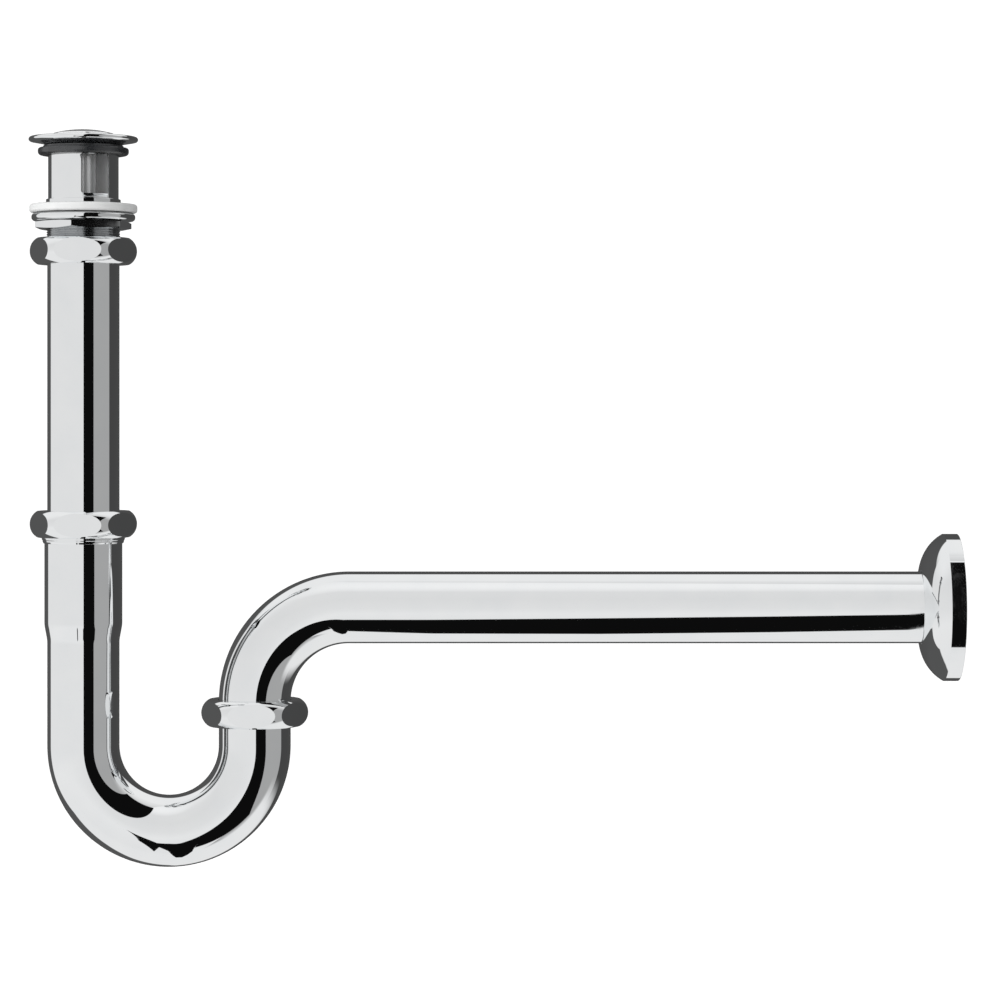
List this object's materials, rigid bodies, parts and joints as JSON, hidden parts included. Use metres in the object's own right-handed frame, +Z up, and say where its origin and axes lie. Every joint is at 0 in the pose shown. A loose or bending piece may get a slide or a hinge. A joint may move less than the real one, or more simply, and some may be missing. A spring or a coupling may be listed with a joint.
{
  "type": "basin p trap",
  "caption": "Chromed tubular P trap with a click plug waste, height-adjustable U bend and a long outlet arm with a wall flange.",
  "frame": {"origin": "on the waste's axis, at the plane where the basin gasket meets the flange's neck", "axes": "+Z up the waste's axis, +X along the outlet arm towards the wall, so the U bend lies in the XZ plane"},
  "size_m": [0.4929, 0.078, 0.3914],
  "materials": {
    "chrome": "polished chrome plate on brass",
    "steel": "plain bright steel",
    "brass": "unplated brass",
    "black_rubber": "matt black rubber",
    "white_rubber": "smooth white rubber",
    "white_plastic": "plain moulded plastic"
  },
  "bodies": {
    "waste": {"waste_body": "chrome", "click_cartridge": "steel", "cartridge_spider": "brass", "cartridge_nut": "brass", "plug_spring": "steel", "upper_gasket": "black_rubber"},
    "plug": {"plug_cap": "chrome", "plug_seal": "black_rubber", "plug_stem": "steel"},
    "clamp_washers": {"lower_gasket": "white_rubber", "pressure_washer": "chrome"},
    "lock_nut_body": {"lock_nut": "chrome"},
    "dip_tube_body": {"dip_tube": "chrome", "coupling_washer": "steel"},
    "coupling_seal_body": {"coupling_seal": "black_rubber"},
    "coupling_nut_body": {"coupling_nut": "chrome"},
    "slip_seals": {"slip_seal": "black_rubber", "slip_ring": "white_plastic"},
    "slip_nut_body": {"slip_nut": "chrome"},
    "trap": {"trap_bend": "chrome", "bell_ferrule": "chrome", "union_ferrule": "chrome", "union_gasket": "black_rubber"},
    "union_nut_body": {"union_nut": "chrome"},
    "arm": {"outlet_arm": "chrome", "union_collar": "chrome"},
    "wall_plate": {"wall_flange": "chrome", "flange_grip_ring": "black_rubber"}
  },
  "joints": [
    {"name": "plug_lift", "type": "slide", "parent": "waste", "child": "plug", "axis": [0, 0, 1], "range_m": [0, 0.0072], "deforming": ["plug_spring"]},
    {"name": "clamp_drop", "type": "slide", "parent": "waste", "child": "clamp_washers", "axis": [0, 0, 1], "range_m": [-0.00305, 0]},
    {"name": "lock_nut_spin", "type": "hinge", "parent": "clamp_washers", "child": "lock_nut_body", "pos_m": [0, 0, -0.0413], "axis": [0, 0, 1], "range_deg": [-864, 0]},
    {"name": "dip_tube_swivel", "type": "hinge", "parent": "waste", "child": "dip_tube_body", "pos_m": [0, 0, -0.0565], "axis": [0, 0, 1], "continuous": true},
    {"name": "coupling_slide", "type": "slide", "parent": "dip_tube_body", "child": "coupling_seal_body", "axis": [0, 0, 1], "range_m": [-0.1, 0]},
    {"name": "coupling_nut_spin", "type": "hinge", "parent": "coupling_seal_body", "child": "coupling_nut_body", "pos_m": [0, 0, -0.05485], "axis": [0, 0, 1], "continuous": true},
    {"name": "trap_height", "type": "slide", "parent": "dip_tube_body", "child": "slip_seals", "axis": [0, 0, 1], "range_m": [-0.025, 0.012]},
    {"name": "slip_nut_spin", "type": "hinge", "parent": "slip_seals", "child": "slip_nut_body", "pos_m": [0, 0, -0.1996], "axis": [0, 0, 1], "continuous": true},
    {"name": "trap_swivel", "type": "hinge", "parent": "slip_seals", "child": "trap", "pos_m": [0, 0, -0.1996], "axis": [0, 0, 1], "continuous": true},
    {"name": "union_nut_spin", "type": "hinge", "parent": "trap", "child": "union_nut_body", "pos_m": [0.091, 0, -0.2996], "axis": [0, 0, 1], "continuous": true},
    {"name": "outlet_swivel", "type": "hinge", "parent": "trap", "child": "arm", "pos_m": [0.091, 0, -0.2996], "axis": [0, 0, 1], "range_deg": [-150, 150]},
    {"name": "wall_flange_slide", "type": "slide", "parent": "arm", "child": "wall_plate", "axis": [1, 0, 0], "range_m": [-0.1, 0]}
  ],
  "couplings": [
    {"joint": "clamp_drop", "follows": "lock_nut_spin", "m_per_rad": 0.00019894}
  ]
}
